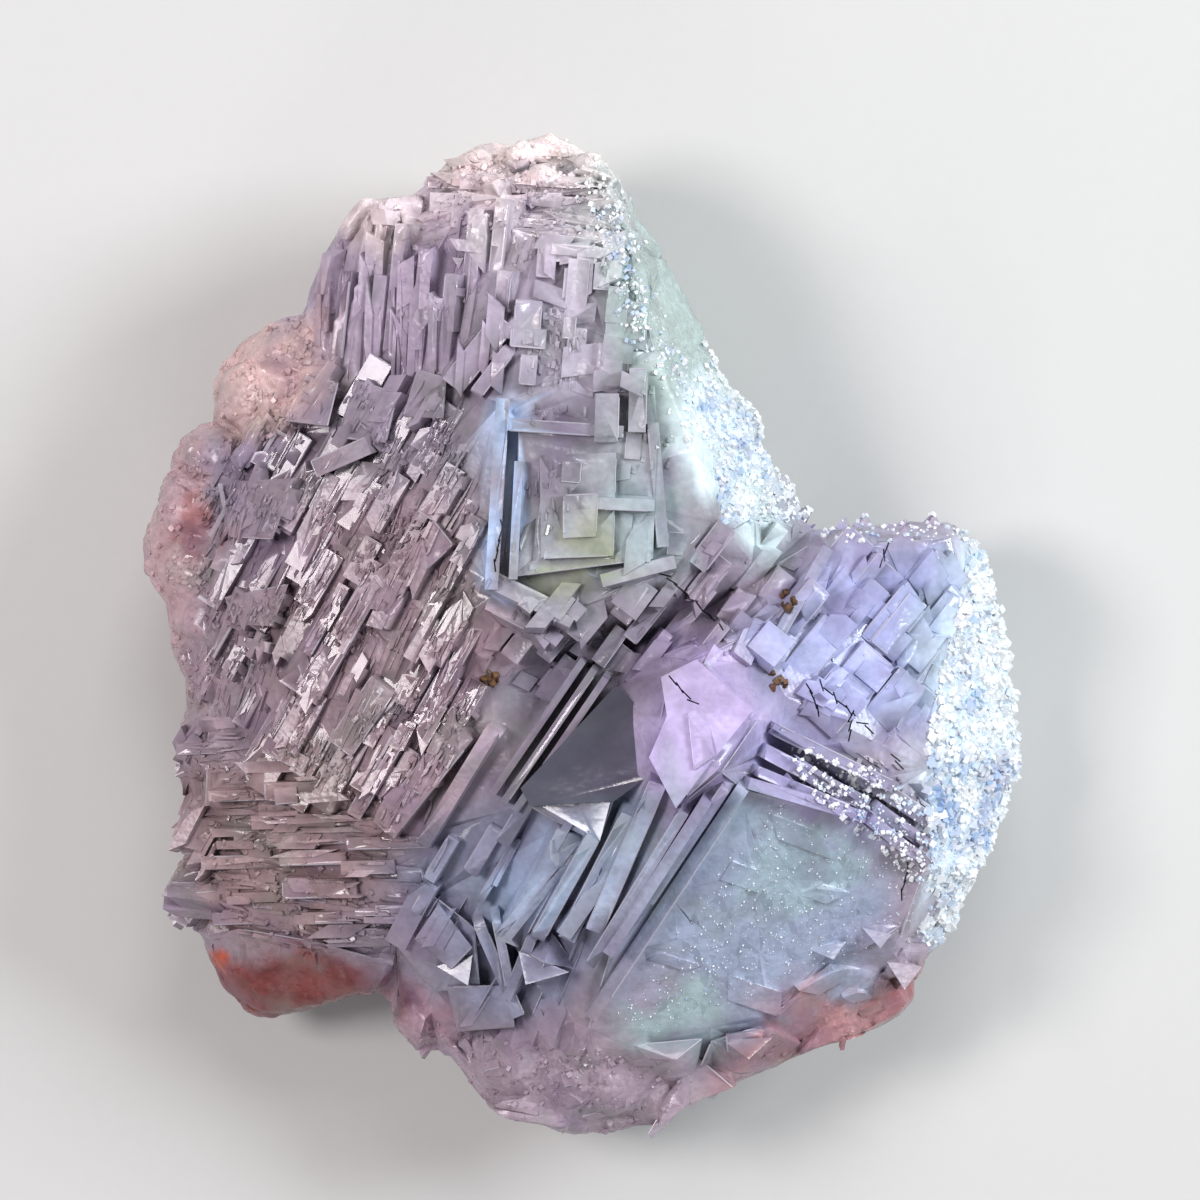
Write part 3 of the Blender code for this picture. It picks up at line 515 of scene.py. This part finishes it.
crystal = bpy.data.materials.new("fluorite")
for _ in range(3):
    mass.data.materials.append(crystal)
joined(mass, steps, "UNION")
ground = shape_of(mass)
steps = bpy.data.collections.new("cracks")
for first, last in CRACKS:
    way = Vector(last) - Vector(first)
    pieces = math.ceil(way.length / PIECE_OF_CRACK)
    for number in range(pieces):
        x, y = Vector(first) + way * (number + 0.5) / pieces
        bend = chance.gauss(0, CRACK_BEND)
        turned = turned_cube(math.degrees(math.atan2(way.y, way.x)) + bend)
        size = (PIECE_OF_CRACK * 1.25, CRACK_WIDTH, CUTTER_ABOVE + CRACK_DEPTH)
        add_step(ground_under(x, y)[0] + Vector((0, 0, CUTTER_ABOVE)), size, turned)
grown = joined(mass, steps, "DIFFERENCE")

# Painted shade and light: where the crystal is hemmed in by its own steps its colour is darkened, and
# where it lies open it is lightened. Each facet has its own tone, the same all over one plane, and the
# rims of the plates are painted pale as a highlight.
HOLLOW_REACH = 2.6
HOLLOW_RAYS = 9
RAY_START = 0.04
PLANE_TURNS, PLANE_DEPTHS = 9, 3
SMOOTH_BELOW = 22


def mark_hollow_shade(mesh, shape):
    """Gives every vertex the share of the rays leaving it that the shape stops, which the colour uses as
    painted shade.
    """
    spread = random.Random(5)
    rays = []
    while len(rays) < HOLLOW_RAYS:
        ray = Vector([spread.uniform(-1, 1) for _ in range(3)])
        if 0.1 < ray.length < 1:
            rays.append(ray.normalized())
    shares = []
    for vert in mesh.vertices:
        start = vert.co + vert.normal * RAY_START * MM
        ways = [(ray + vert.normal * 1.05).normalized() for ray in rays]
        stopped = sum(shape.ray_cast(start, way, HOLLOW_REACH * MM)[0] is not None for way in ways)
        shares.append(stopped / HOLLOW_RAYS)
    mesh.attributes.new("hollow_shade", "FLOAT", "POINT").data.foreach_set("value", shares)


def mark_facets(mesh):
    """Gives every face a number from 0 to 1 that all the faces in its plane share."""
    tones = []
    for face in mesh.polygons:
        depth = face.normal.dot(face.center) / MM
        plane = (*(round(part * PLANE_TURNS) for part in face.normal), round(depth * PLANE_DEPTHS))
        tones.append(random.Random(hash(plane)).random())
    mesh.attributes.new("facet", "FLOAT", "FACE").data.foreach_set("value", tones)


mark_hollow_shade(grown, shape_of(mass))
mark_facets(grown)
for mark, number in (("rim_highlight", RIM), ("dark", DARK)):
    shares = [float(polygon.material_index == number) for polygon in grown.polygons]
    grown.attributes.new(mark, "FLOAT", "FACE").data.foreach_set("value", shares)
grown.polygons.foreach_set("material_index", [0] * len(grown.polygons))
while len(grown.materials) > 1:
    grown.materials.pop()
grown.shade_smooth()
grown.set_sharp_from_angle(angle=math.radians(SMOOTH_BELOW))


def shade(red, green, blue):
    """A colour read off a screen, from 0 to 255, as the shader needs it."""
    parts = [(part / 255 + 0.055) / 1.055 for part in (red, green, blue)]
    return [part ** 2.4 if part > 0.09 else (part * 1.055 - 0.055) / 12.92 for part in parts] + [1.0]


# The colours of the specimen: the middle of each tint, how far it reaches across and along, how
# it is turned, and its colour. The later ones lie over the earlier.
BODY_TINT = (150, 138, 152)
TINTS = [
    ((-15, -2), (10, 14), 0, (152, 130, 138)),
    ((-4, 32), (9, 4.5), 0, (240, 220, 218)),
    ((-12, 23.5), (8, 6.5), 0, (176, 160, 180)),
    ((-14.5, 29), (4.6, 2.6), -10, (214, 198, 200)),
    ((-2, 28.5), (7, 3.2), 0, (200, 188, 196)),
    ((-1, 22), (5, 6), 0, (176, 168, 182)),
    ((7, 20), (4.5, 14), 25, (160, 176, 172)),
    ((0, 9), (7.5, 8), 0, (150, 152, 158)),
    ((-2.6, 12.5), (3.4, 2.5), 0, (132, 124, 138)),
    ((1, 7), (1.8, 2.4), 20, (162, 164, 142)),
    ((0.5, 4.0), (2.4, 1.2), 0, (158, 164, 138)),
    ((4.5, 8), (2.6, 4), 0, (158, 172, 176)),
    ((-5.7, 9.8), (0.9, 7.2), -4, (172, 190, 222)),
    ((-28.5, 6), (3.6, 12), 0, (188, 158, 162)),
    ((-22.5, 18.5), (4.5, 4), 30, (204, 174, 172)),
    ((-26.8, 8.5), (1.5, 3.4), 0, (160, 112, 114)),
    ((-22, -14), (8, 7), 0, (154, 130, 131)),
    ((-20.5, -24.8), (8.5, 3.4), -8, (126, 68, 66)),
    ((-26.8, -21.6), (1.2, 1.1), 0, (184, 88, 64)),
    ((-11.5, -27.5), (2.6, 2.6), 0, (164, 132, 146)),
    ((-4, -18), (8, 8), 0, (138, 140, 162)),
    ((-3.4, -17), (1.6, 4.5), -28, (164, 180, 206)),
    ((3, -13), (2.2, 4.6), -30, (158, 172, 194)),
    ((-1, -31), (9.5, 5), 0, (160, 142, 154)),
    ((-1, -2), (6, 2.5), 0, (126, 120, 134)),
    ((8, -14), (2.6, 9), -34, (150, 148, 174)),
    ((8, -6), (4.6, 5.6), 0, (176, 160, 200)),
    ((12, -19), (8.5, 7.5), 0, (150, 160, 182)),
    ((15, -15), (4.4, 4), 0, (150, 168, 178)),
    ((7, -26), (2.8, 2.4), 0, (150, 168, 170)),
    ((17.5, -27.6), (9, 2.9), 22, (164, 122, 124)),
    ((22.6, -25.6), (2.6, 2.0), 22, (160, 102, 107)),
    ((17, -10), (7, 2.6), -32, (156, 152, 186)),
    ((20, 0), (7.5, 7), 0, (166, 170, 210)),
    ((24, 1), (2.6, 5), 0, (164, 176, 200)),
    ((11, 12), (3.4, 5.5), 25, (214, 230, 236)),
    ((28, -7), (4, 16), 0, (206, 224, 238)),
]
EDGE_OF_TINTS = (0.62, 1.35)
CLOUD_NUMBER = 1
noise.seed_set(CLOUD_NUMBER)


def mark_tints(mesh):
    """Gives every vertex the clouded colour of the crystal at its place."""
    places, nudges = [], []
    for vert in mesh.vertices:
        place = vert.co / MM
        places.append(place.xy)
        nudges.append((noise.noise_vector(place * 0.16) * 3.2 + noise.noise_vector(place * 0.8) * 1.2).xy)
    places = np.array(places) + np.array(nudges)
    colours = np.tile(shade(*BODY_TINT), (len(places), 1))
    for (x, y), (across, along), turn, tint in TINTS:
        angle = math.radians(turn)
        local = places - (x, y)
        ahead = local[:, 0] * math.cos(angle) + local[:, 1] * math.sin(angle)
        aside = local[:, 1] * math.cos(angle) - local[:, 0] * math.sin(angle)
        reach = np.hypot(ahead / across, aside / along)
        share = np.clip((EDGE_OF_TINTS[1] - reach) / (EDGE_OF_TINTS[1] - EDGE_OF_TINTS[0]), 0, 1)
        share = (share * share * (3 - 2 * share))[:, None]
        colours = colours * (1 - share) + np.array(shade(*tint)) * share
    mesh.attributes.new("tint", "FLOAT_COLOR", "POINT").data.foreach_set("color", colours.ravel())


mark_tints(grown)


def add_node(tree, kind, inputs, **settings):
    """A shader node with its settings. Each input, by name or number, is a value or what feeds it."""
    made = tree.nodes.new("ShaderNode" + kind)
    for name, value in settings.items():
        setattr(made, name, value)
    for socket, value in inputs.items():
        if isinstance(value, bpy.types.NodeSocket):
            tree.links.new(value, made.inputs[socket])
        else:
            made.inputs[socket].default_value = value
    return made


def blended(tree, share, first, second, way="MIX"):
    """A colour between two colours."""
    inputs = {0: share, 6: first, 7: second}
    return add_node(tree, "Mix", inputs, data_type="RGBA", blend_type=way).outputs[2]


def sum_of(tree, way, *terms):
    """A number worked out from one, two or three others."""
    return add_node(tree, "Math", dict(enumerate(terms)), operation=way).outputs[0]


def ranged(tree, value, low, high, first=0.0, second=1.0):
    """A number moved from between low and high to between first and second, and kept there."""
    limits = {"Value": value, "From Min": low, "From Max": high, "To Min": first, "To Max": second}
    return add_node(tree, "MapRange", limits).outputs[0]


def marked(tree, name, output="Fac"):
    """A mark of the mesh."""
    return add_node(tree, "Attribute", {}, attribute_name=name).outputs[output]


def noise_of(tree, place, scale, detail, output="Fac"):
    """Clouds of the given number to a metre."""
    return add_node(tree, "TexNoise", {"Vector": place, "Scale": scale, "Detail": detail}).outputs[output]


def grain_group():
    """A node group for fine grain: the grain itself, and the bumps of it and of the relief it lies on."""
    group = bpy.data.node_groups.new("grain", "ShaderNodeTree")
    ends = group.interface
    ends.new_socket("Place", in_out="INPUT", socket_type="NodeSocketVector")
    values = {"Scale": 1000, "Detail": 1, "Relief": 0, "Share": 1, "Strength": 0.5, "Depth": 0.1 * MM}
    for name, value in values.items():
        ends.new_socket(name, in_out="INPUT", socket_type="NodeSocketFloat").default_value = value
    ends.new_socket("Grain", in_out="OUTPUT", socket_type="NodeSocketFloat")
    ends.new_socket("Normal", in_out="OUTPUT", socket_type="NodeSocketVector")
    given = group.nodes.new("NodeGroupInput").outputs
    fine = noise_of(group, given["Place"], given["Scale"], given["Detail"])
    height = sum_of(group, "MULTIPLY", sum_of(group, "ADD", fine, given["Relief"]), given["Share"])
    bumps = {"Height": height, "Strength": given["Strength"], "Distance": given["Depth"]}
    bumps = add_node(group, "Bump", bumps)
    made = group.nodes.new("NodeGroupOutput")
    group.links.new(fine, made.inputs["Grain"])
    group.links.new(bumps.outputs[0], made.inputs["Normal"])
    return group


def grained(tree, place, scale, strength, depth, **others):
    """The grain group's outputs in a material, with its values and any other inputs by name."""
    inputs = {"Place": place, "Scale": scale, "Strength": strength, "Depth": depth * MM, **others}
    return add_node(tree, "Group", inputs, node_tree=grain).outputs


FLUORITE_INDEX = 1.434
grain = grain_group()
crystal.use_nodes = True
tree = crystal.node_tree
surface = tree.nodes["Principled BSDF"]
place = tree.nodes.new("ShaderNodeTexCoord").outputs["Object"]
hollow_shade, facet, rim_highlight = marked(tree, "hollow_shade"), marked(tree, "facet"), marked(tree, "rim_highlight")
cloud = noise_of(tree, place, 420.0, 3.0)
striae = {"Vector": place, "Rotation": (0, 0, math.radians(-60)), "Scale": (0.25, 2.4, 1)}
striae = add_node(tree, "Mapping", striae).outputs[0]
lines = sum_of(tree, "MULTIPLY", noise_of(tree, striae, 900.0, 1.0), 0.5)
patchy = ranged(tree, facet, 0, 1, 0.15, 1.0)
fine = grained(tree, place, 2200.0, 0.55, 0.1, Relief=lines, Share=patchy)
speckle = fine["Grain"]
tone = ranged(tree, facet, 0, 1, 0.88, 1.12)
for share in (
    ranged(tree, cloud, 0.3, 0.7, 0.84, 1.16),
    ranged(tree, speckle, 0.3, 0.7, 0.92, 1.08),
    # Painted shade: darker where rays from a point are stopped by the steps around it, lighter where it
    # lies open.
    ranged(tree, hollow_shade, 0.1, 0.8, 1.45, 0.8),
):
    tone = sum_of(tree, "MULTIPLY", tone, share)
tinted = {0: marked(tree, "tint", "Color"), "Scale": tone}
own = add_node(tree, "VectorMath", tinted, operation="SCALE").outputs[0]
veils = noise_of(tree, place, 230.0, 2.0, "Color")
veil = add_node(tree, "SeparateColor", {"Color": veils}).outputs
own = blended(tree, ranged(tree, veil[0], 0.5, 0.68, 0.0, 0.34), own, shade(146, 122, 160))
own = blended(tree, ranged(tree, veil[1], 0.52, 0.7, 0.0, 0.34), own, shade(150, 158, 148))
own = blended(tree, ranged(tree, marked(tree, "dark"), 0, 1, 0.0, 0.85), own, shade(74, 76, 88))
# Painted highlight: the rims along the plates' edges are coloured pale.
painted_rim_highlight = blended(tree, 0.6, own, shade(226, 220, 232))
tree.links.new(blended(tree, rim_highlight, own, painted_rim_highlight), surface.inputs["Base Color"])
tree.links.new(fine["Normal"], surface.inputs["Normal"])
frosting = ranged(tree, sum_of(tree, "MULTIPLY_ADD", facet, 0.5, cloud), 0.35, 1.0, 0.08, 0.36)
tree.links.new(frosting, surface.inputs["Roughness"])
surface.inputs["IOR"].default_value = FLUORITE_INDEX
surface.inputs["Transmission Weight"].default_value = 0.25
depths = add_node(tree, "VolumeAbsorption", {"Color": (0.75, 0.66, 0.82, 1), "Density": 30.0})
tree.links.new(depths.outputs[0], tree.nodes["Material Output"].inputs["Volume"])
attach(mass, "root")
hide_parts("fluorite_specimen")


# The druse. A crust of very small clear crystals, each well under a millimetre, that grew over the
# right-hand edges of the fluorite last. It is white to azure and glitters. Its near-white colour is partly
# its own and partly a painted highlight for the glare off its many facets.
def small_crystals(name, spots, sizes, stray):
    """One mesh of small crystals, each sunk by half its size into the ground at its spot."""
    crust = bmesh.new()
    for spot, slope in spots:
        size = sizes[0] + (sizes[1] - sizes[0]) * chance.random() ** 2
        turned = turned_cube(*[part + chance.gauss(0, stray) for part in (50, 5, -10)])
        long_way = Vector((size, size * chance.uniform(0.6, 1.0), size * chance.uniform(0.7, 1.2)))
        shaped = (turned @ Matrix.Diagonal(long_way * MM)).to_4x4()
        raised = Matrix.Translation((spot + slope * size * 0.1) * MM)
        bmesh.ops.create_cube(crust, size=1.0, matrix=raised @ shaped)
    return placed(name, crust)


def spots_over(corners, density):
    """Places on the ground inside some corners, with the slope there."""
    (low_x, high_x), (low_y, high_y) = reach_of(corners)
    spots = []
    for _ in range(int((high_x - low_x) * (high_y - low_y) * density)):
        x, y = chance.uniform(low_x, high_x), chance.uniform(low_y, high_y)
        spot, slope = ground_under(x, y)
        if spot and inside((x, y), corners):
            spots.append((spot, slope))
    return spots


def spots_along(corners, number, spread):
    """Places on the ground that follow a line of corners."""
    spots = []
    for _ in range(number):
        leg = chance.randrange(len(corners) - 1)
        x, y = Vector(corners[leg]).lerp(Vector(corners[leg + 1]), chance.random())
        spot, slope = ground_under(x + chance.gauss(0, spread), y + chance.gauss(0, spread))
        if spot:
            spots.append((spot, slope))
    return spots


def spots_beside(from_y, to_y, least_x, number):
    """Places on the right flank, found by looking at it from the right."""
    spots = []
    for _ in range(number):
        start = Vector((50, chance.uniform(from_y, to_y), 1.2 + 13 * chance.random() ** 0.8))
        spot, slope = ground.ray_cast(start * MM, Vector((-1, 0, 0)))[:2]
        if spot and spot.x > least_x * MM and slope.z > -0.5:
            spots.append((spot / MM, slope))
    return spots


ground = shape_of(mass)
FAR_RIGHT = [
    (28, 6.2), (26.5, 3.5), (25, -2), (24, -6), (23.5, -10), (24, -15), (25, -19.5), (25.8, -21.2),
    (29, -18), (32, -8), (31, 0), (29.5, 5),
]
UPPER_PATCH = [(7, 17.4), (9, 12), (9.6, 7.8), (15.9, 8.2), (14.4, 12.5), (12.4, 15.5), (9.6, 20)]
BROKEN_STEPS = [(14, -7.2), (21, -9.2), (24.6, -12.5), (24.2, -18), (20.4, -14.8), (15, -10)]
SMOOTH_FACE = [(13, -10.8), (23.6, -16), (22.6, -20.5), (15, -23.5), (5, -27.6), (2.4, -26)]
RIGHT_CRYSTAL_TOP = [(16.4, 6.6), (25.8, 6.4), (27.4, 6.8), (27, 8.4), (16.4, 8.2)]
UPPER_RIDGE = [(1.4, 31.5), (2.2, 29), (3, 26), (4, 22), (6.4, 18.6), (8, 14)]
STRAY = 24
FACES_OF_CUBE = 6
far_right = small_crystals(
    "druse_far_right", spots_over(FAR_RIGHT, 13.0) + spots_beside(-21.5, 7.5, 22, 1900),
    (0.18, 0.6), STRAY)
upper_right = small_crystals(
    "druse_upper_right", spots_over(UPPER_PATCH, 13.0) + spots_beside(8.5, 21, 5, 700),
    (0.16, 0.5), STRAY)
glitter = small_crystals(
    "druse_glitter",
    spots_along(UPPER_RIDGE, 420, 0.7) + spots_over(BROKEN_STEPS, 9.0)
    + spots_over(RIGHT_CRYSTAL_TOP, 5.0),
    (0.1, 0.36), STRAY)
dust = small_crystals("druse_dust", spots_over(SMOOTH_FACE, 4.0), (0.04, 0.12), STRAY)
druse = bpy.data.materials.new("druse")
druse.use_nodes = True
tree = druse.node_tree
surface = tree.nodes["Principled BSDF"]
place = tree.nodes.new("ShaderNodeTexCoord").outputs["Object"]
facet = marked(tree, "facet")
drift = noise_of(tree, place, 260.0, 3.0)
blue = ranged(tree, sum_of(tree, "MULTIPLY_ADD", facet, 0.4, drift), 0.72, 1.1, 0.0, 0.75)
# Near white: partly the crust's own colour, partly a painted highlight for its glare.
icy_and_glare = blended(tree, blue, shade(252, 254, 255), shade(120, 192, 246))
tinted = blended(tree, ranged(tree, drift, 0.5, 0.66, 0.0, 0.3), icy_and_glare, shade(150, 140, 190))
tree.links.new(tinted, surface.inputs["Base Color"])
tree.links.new(ranged(tree, facet, 0, 1, 0.06, 0.3), surface.inputs["Roughness"])
tree.links.new(grained(tree, place, 5200.0, 0.3, 0.05)["Normal"], surface.inputs["Normal"])
surface.inputs["IOR"].default_value = FLUORITE_INDEX
surface.inputs["Transmission Weight"].default_value = 0.12
for crust in (far_right, upper_right, glitter, dust):
    tones = [chance.random() for _ in range(len(crust.data.polygons) // FACES_OF_CUBE)]
    tones = [tone for tone in tones for _ in range(FACES_OF_CUBE)]
    crust.data.attributes.new("facet", "FLOAT", "FACE").data.foreach_set("value", tones)
    crust.data.materials.append(druse)
    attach(crust, "root")


# Grains. Small granular crystals of the same fluorite over the crown, the foot and the left rim.
CROWN = [(-11, 29), (-4, 27.6), (3.0, 27.5), (3.4, 33), (-1.6, 35), (-6, 33.6), (-11.6, 31.4)]
FOOT = [(-10.6, -26.6), (-6, -28), (3.4, -28.8), (8.6, -31.2), (2, -35), (-5, -34.6), (-10.5, -30)]
LEFT_RIM = [(-31, -5), (-27, -5), (-26, 9), (-20, 15.6), (-18.4, 22), (-26, 23), (-31, 12)]
grains = small_crystals(
    "grains",
    spots_over(CROWN, 4.0) + spots_over(FOOT, 1.0) + spots_over(LEFT_RIM, 1.4)
    + spots_over([(-27, -12), (-14, -15), (-14, -22), (-27, -20)], 1.0), (0.12, 0.42), 20)
mark_facets(grains.data)
mark_tints(grains.data)
grains.data.materials.append(crystal)
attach(grains, "root")


# Iron-stained grains. Three rusty brown specks of another mineral, about a millimetre each, caught
# between the steps where the two crystals meet.
iron_places = []
for x, y in ((14.1, 2.4), (13.4, -3.1), (-5.9, -3.0)):
    for _ in range(7):
        spot, slope = ground_under(x + chance.gauss(0, 0.3), y + chance.gauss(0, 0.3))
        iron_places.append((spot, slope))
iron = small_crystals("iron_grains", iron_places, (0.25, 0.6), 40)
rust = bpy.data.materials.new("iron_stained")
rust.use_nodes = True
tree = rust.node_tree
surface = tree.nodes["Principled BSDF"]
place = tree.nodes.new("ShaderNodeTexCoord").outputs["Object"]
crumbled = grained(tree, place, 2600.0, 0.7, 0.1, Detail=4.0)
crumbs = crumbled["Grain"]
rusty = blended(tree, ranged(tree, crumbs, 0.35, 0.65), shade(52, 36, 28), shade(120, 84, 52))
tree.links.new(rusty, surface.inputs["Base Color"])
tree.links.new(ranged(tree, crumbs, 0.3, 0.7, 0.75, 0.4), surface.inputs["Roughness"])
tree.links.new(crumbled["Normal"], surface.inputs["Normal"])
iron.data.materials.append(rust)
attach(iron, "root")


# The table. A plain pale top, lit by soft boxes as in a small studio.
floor_shape = bmesh.new()
bmesh.ops.create_grid(floor_shape, x_segments=1, y_segments=1, size=1.2)
floor = placed("floor", floor_shape)
pale = bpy.data.materials.new("pale_table")
pale.use_nodes = True
tree = pale.node_tree
surface = tree.nodes["Principled BSDF"]
place = tree.nodes.new("ShaderNodeTexCoord").outputs["Object"]
paper = grained(tree, place, 900.0, 0.15, 0.05)
smudges = noise_of(tree, place, 14.0, 1.0)
mottled = sum_of(tree, "MULTIPLY_ADD", paper["Grain"], 0.3, smudges)
mottled = blended(tree, mottled, shade(202, 201, 198), shade(208, 207, 204))
tree.links.new(mottled, surface.inputs["Base Color"])
tree.links.new(ranged(tree, smudges, 0.3, 0.7, 0.55, 0.68), surface.inputs["Roughness"])
tree.links.new(paper["Normal"], surface.inputs["Normal"])
floor.data.materials.append(pale)


def soft_box(name, towards, away, size, power, colour=(1, 1, 1)):
    """A square lamp of the given size in metres, looking at the specimen from a direction."""
    lamp = bpy.data.lights.new(name, "AREA")
    lamp.shape = "SQUARE"
    lamp.size = size
    lamp.energy = power
    lamp.color = colour
    thing = bpy.data.objects.new(name, lamp)
    bpy.context.scene.collection.objects.link(thing)
    aim = Vector(towards).normalized()
    thing.location = aim * away
    thing.rotation_euler = aim.to_track_quat("Z", "Y").to_euler()


soft_box("key_left", (-0.53, 0.12, 0.85), 0.6, 0.16, 1.8, (1.0, 0.94, 0.955))
soft_box("side_right", (0.85, 0.3, 0.62), 0.6, 0.22, 3.1, (0.9, 0.96, 1.0))
soft_box("far_top", (0.12, 0.8, 0.9), 0.7, 0.25, 1.2)
soft_box("near_low", (-0.1, -0.85, 0.6), 0.7, 0.25, 0.7)
world = bpy.data.worlds.new("studio")
world.use_nodes = True
world.node_tree.nodes["Background"].inputs["Color"].default_value = (0.9, 0.92, 1.0, 1)
world.node_tree.nodes["Background"].inputs["Strength"].default_value = 0.22
bpy.context.scene.world = world
bpy.context.scene.view_settings.view_transform = "Standard"
bpy.context.scene.cycles.max_bounces = 4
